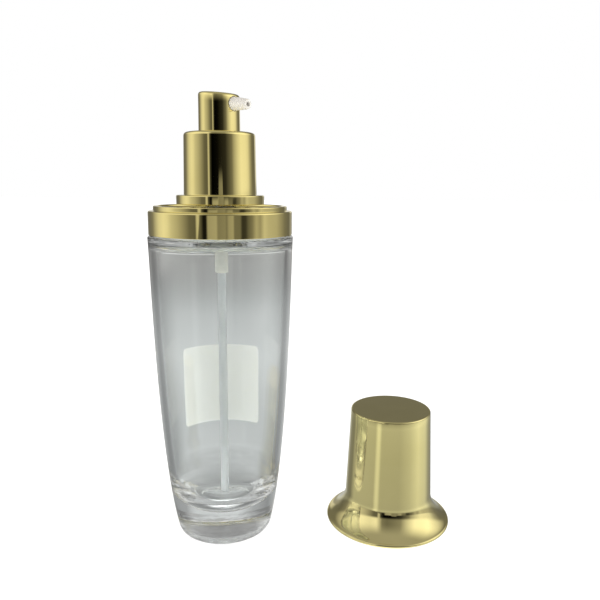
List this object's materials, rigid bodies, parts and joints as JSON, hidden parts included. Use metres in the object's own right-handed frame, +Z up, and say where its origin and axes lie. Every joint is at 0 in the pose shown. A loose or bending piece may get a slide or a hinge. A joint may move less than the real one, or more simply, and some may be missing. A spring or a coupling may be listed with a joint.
{
  "type": "cosmetic pump bottle",
  "caption": "Tapered clear glass foundation bottle with gold shoulder ring, gold treatment pump and white nozzle; flared gold overcap standing beside it.",
  "frame": {"origin": "centre of the box round the bottle and the overcap together, at the level of the table they stand on", "axes": "+Z up along the bottle's axis; the overcap stands on the bottle's +X side; -Y is the side seen from the front, and the label is on the +Y side"},
  "size_m": [0.092, 0.0442, 0.1302],
  "materials": {
    "glass_bottle": "clear flint glass, fire polished",
    "back_label": "blank off-white film label",
    "shoulder_ring": "mirror-bright gold anodised",
    "shoulder_ring_liner": "natural polypropylene",
    "neck_gasket": "white foamed polyethylene",
    "pump_housing": "natural polypropylene",
    "housing_lock_ring": "natural polypropylene",
    "dip_tube": "translucent polyethylene",
    "closure_sleeve": "mirror-bright gold anodised",
    "screw_closure": "natural polypropylene",
    "check_ball": "stainless steel ball",
    "return_spring": "stainless steel wire",
    "stem": "natural polypropylene",
    "piston_rod": "natural polypropylene",
    "piston": "white polyethylene",
    "actuator_core": "natural polypropylene",
    "actuator_shell": "mirror-bright gold anodised",
    "nozzle_insert": "translucent white polypropylene",
    "overcap_shell": "gold metallised, lacquered",
    "overcap_liner": "natural polypropylene"
  },
  "bodies": {
    "bottle": {"glass_bottle": "glass_bottle", "back_label": "back_label", "shoulder_ring": "shoulder_ring", "shoulder_ring_liner": "shoulder_ring_liner"},
    "pump": {"neck_gasket": "neck_gasket", "pump_housing": "pump_housing", "housing_lock_ring": "housing_lock_ring", "dip_tube": "dip_tube", "return_spring": "return_spring"},
    "closure": {"closure_sleeve": "closure_sleeve", "screw_closure": "screw_closure"},
    "inlet_ball": {"check_ball": "check_ball"},
    "plunger": {"stem": "stem", "piston_rod": "piston_rod"},
    "seal": {"piston": "piston"},
    "head": {"actuator_core": "actuator_core", "actuator_shell": "actuator_shell", "nozzle_insert": "nozzle_insert"},
    "overcap": {"overcap_shell": "overcap_shell", "overcap_liner": "overcap_liner"}
  },
  "joints": [
    {"name": "pump_rise", "type": "slide", "parent": "bottle", "child": "pump", "axis": [0, 0, 1], "range_m": [0, 0.00476]},
    {"name": "closure_turn", "type": "hinge", "parent": "pump", "child": "closure", "pos_m": [-0.02508, -0.0011, 0.105], "axis": [0, 0, 1], "range_deg": [0, 540]},
    {"name": "ball_lift", "type": "slide", "parent": "pump", "child": "inlet_ball", "axis": [0, 0, 1], "range_m": [0, 0.0012]},
    {"name": "pump_press", "type": "slide", "parent": "pump", "child": "plunger", "axis": [0, 0, -1], "range_m": [0, 0.0045], "stiffness_N_per_m": 1200, "springref_m": -0.004, "deforming": ["return_spring"]},
    {"name": "piston_slip", "type": "slide", "parent": "plunger", "child": "seal", "axis": [0, 0, 1], "range_m": [0, 0.0008]},
    {"name": "head_turn", "type": "hinge", "parent": "plunger", "child": "head", "pos_m": [-0.02508, -0.0011, 0.12], "axis": [0, 0, 1], "continuous": true},
    {"name": "cap_lift", "type": "slide", "parent": "bottle", "child": "overcap", "axis": [0, 0, 1], "range_m": [0, 0.14]}
  ],
  "couplings": [
    {"joint": "closure_turn", "follows": "pump_rise", "rad_per_m": 1979}
  ]
}
